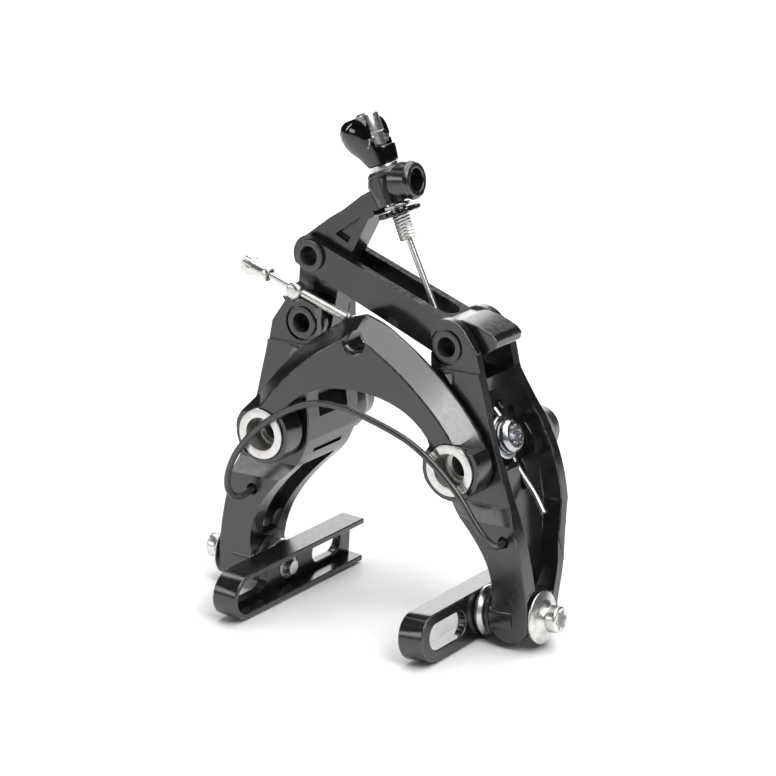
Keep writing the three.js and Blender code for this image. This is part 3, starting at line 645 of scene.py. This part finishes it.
def make_bolts():
    for name, side in SIDES.items():
        x, y, z = PAD_BOLT
        outward = (side * cos(PAD_TILT), 0, sin(PAD_TILT))
        line = on_axis(at(side * x, y, z), outward)
        bolt = [
            (0, -13.2),
            (1.9, -13.2),
            (1.9, -9),
            (2.5, -9),
            (2.5, 7.2),
            (6.6, 7.2),
            (6.6, 7.7),
            (4.4, 8.3),
            (2.8, 9.6),
            (3.4, 10),
            (3.4, 12.4),
            (3.0, 12.8),
            (2.2, 12.8, lobed),
            (2.1, 10.8, lobed),
            (0, 10.6),
        ]
        revolve(name + "_pad_bolt", bolt, line, sides=96, edge=0.14)
        ball = [(2.9, -8.5), (6.3, -8.5), (6.5, -7.6), (5.6, -6.6), (4.6, -6.1), (2.9, -6.1)]
        revolve(name + "_spherical_washer", ball, line, edge=0.2)
        cup = [(2.9, -5.6), (4.8, -5.8), (6.2, -5.6), (6.2, -4.6), (2.9, -4.6)]
        revolve(name + "_cup_washer", cup, line)


def make_sleeves():
    profile = [
        (4.3, 0),
        (6.5, 0),
        (6.5, 1.6),
        (5.6, 1.6),
        (5.6, 7.2),
        (4, 7.2),
        (4, 43.5),
        (3.1, 43.5),
        (3.1, 6.4),
        (4.3, 6.4),
    ]
    seat = [(4.3, 32), (8, 32), (8, 36.5), (6.2, 40.5), (5.9, 40.5), (5.9, 43.5), (4.3, 43.5)]
    for name, side in SIDES.items():
        line = on_axis(at(side * PIVOT_X, 0, 0), ALONG_Y)
        notch = tool_slot if name == "right" else None
        revolve(name + "_pivot_sleeve", profile, line, sides=144, edge=0.16, notch=notch)
        revolve(name + "_rear_seat", seat, line, sides=96, edge=0.2)


def make_hollow_pins():
    pins = {
        "lever_pivot_pin": ((-TOGGLE[0], TOGGLE[1]), 3.4, 9.2, 27.4),
        "link_pivot_pin": (TOGGLE, 3.4, 9.2, 27.4),
        "crank_pin": (CRANK, 3.1, 11.3, 25.5),
    }
    for node, ((x, z), radius, front, back) in pins.items():
        length = back - front
        profile = [(2.5, 0), (4, 0), (4, 0.7), (radius, 0.7), (radius, length), (2.5, length)]
        revolve(node, profile, on_axis(at(x, front, z), ALONG_Y), edge=0.18)


def make_anchor():
    line = on_axis(at(*ANCHOR), (cos(ANCHOR_SLOPE), 0, sin(ANCHOR_SLOPE)))
    bolt = [
        (0, -1.4),
        (2, -1.4),
        (2, 2.5),
        (4.2, 2.5),
        (4.2, 4),
        (3.4, 5),
        (2.15, 5, lobed),
        (2.05, 3.3, lobed),
        (0, 3.2),
    ]
    revolve("anchor_bolt", bolt, line, sides=96, edge=0.16)
    revolve("anchor_washer", [(2.3, 1.1), (5.5, 1.1), (5.5, 1.8), (5.1, 2.2), (2.3, 2.2)], line)


# Widths in mm of the rounded edges, and the least angles in degrees of the edges rounded.
EDGE_WIDTHS = {
    "arch_plate": 0.4,
    "left_arm": 0.35,
    "right_arm": 0.35,
    "toggle_link": 0.4,
    "stop_lever": 0.35,
    "left_pad_holder": 0.35,
    "right_pad_holder": 0.35,
    **{f"{side}_{end}_thrust_washer": 0.1 for side in SIDES for end in ("front", "rear")},
}
EDGE_ANGLES = {"quick_release_lever": 35}
COMMON_EDGE_WIDTH = 0.25
COMMON_EDGE_ANGLE = 17
TURNED_PAIRS = ("pad_bolt", "spherical_washer", "cup_washer", "pivot_sleeve", "rear_seat")
REMADE = {
    "centring_nut",
    "housing_barrel",
    "cable_seat_washer",
    "lever_pivot_pin",
    "link_pivot_pin",
    "crank_pin",
    "adjuster_stud",
    "thumb_wheel",
    "centring_screw",
    "centring_knob",
    "anchor_bolt",
    "anchor_washer",
    "brake_wire",
    "return_spring",
    *(f"{side}_{piece}" for side in SIDES for piece in TURNED_PAIRS),
}


# ---- stage ----
LAMPS_AIM = Vector((0, -0.02, 0.01))
FLOOR_HALF = 3.0
FLOOR_DROP = 0.0005  # how far the floor lies under the CAD box, in metres


def soft_box(name, location, size, radiance):
    """A rectangular lamp of a given size in metres whose face shines with a given radiance."""
    data = bpy.data.lights.new(name, "AREA")
    data.shape = "RECTANGLE"
    data.size, data.size_y = size
    data.energy = radiance * pi * size[0] * size[1]
    lamp = bpy.data.objects.new(name, data)
    lamp.location = location
    lamp.rotation_mode = "QUATERNION"
    lamp.rotation_quaternion = (LAMPS_AIM - lamp.location).to_track_quat("-Z", "Y")
    bpy.context.scene.collection.objects.link(lamp)


def make_floor():
    mesh = bpy.data.meshes.new("floor")
    level = CAD_BOX[0].z - FLOOR_DROP
    corners = [(-1, -1), (1, -1), (1, 1), (-1, 1)]
    points = [(x * FLOOR_HALF, y * FLOOR_HALF, level) for x, y in corners]
    mesh.from_pydata(points, [], [(0, 1, 2, 3)])
    floor = bpy.data.objects.new("floor", mesh)
    bpy.context.scene.collection.objects.link(floor)
    m = Nodes("floor", Roughness=0.7)
    m.shader.inputs["Base Color"].default_value = (0.92, 0.92, 0.92, 1)
    mesh.materials.append(m.material)


def make_studio():
    world = bpy.data.worlds.new("studio")
    world.use_nodes = True
    background = world.node_tree.nodes["Background"]
    background.inputs["Color"].default_value = (1, 1, 1, 1)
    background.inputs["Strength"].default_value = 0.03
    bpy.context.scene.world = world
    bpy.context.scene.view_settings.view_transform = "Standard"
    soft_box("overhead", (0.1, 0.1, 0.9), (1.5, 1.0), 3.2)
    soft_box("right_box", (0.9, -0.45, 0.85), (0.55, 0.55), 7.5)
    soft_box("back_box", (-0.6, 1.1, 0.38), (1.1, 0.6), 3.0)
    soft_box("front_left_box", (-0.8, -1.15, 0.38), (0.6, 0.35), 3.6)
    soft_box("left_strip", (-0.95, -0.45, 0.5), (0.1, 0.7), 8.0)


make_camera()
make_wire()
make_spring()
make_cable_end()
make_centring()
make_bolts()
make_anchor()
make_sleeves()
make_hollow_pins()
for node in BODY_OF:
    if node not in REMADE:
        width = EDGE_WIDTHS.get(node, COMMON_EDGE_WIDTH)
        refined(node, width, EDGE_ANGLES.get(node, COMMON_EDGE_ANGLE))
make_floor()
make_studio()
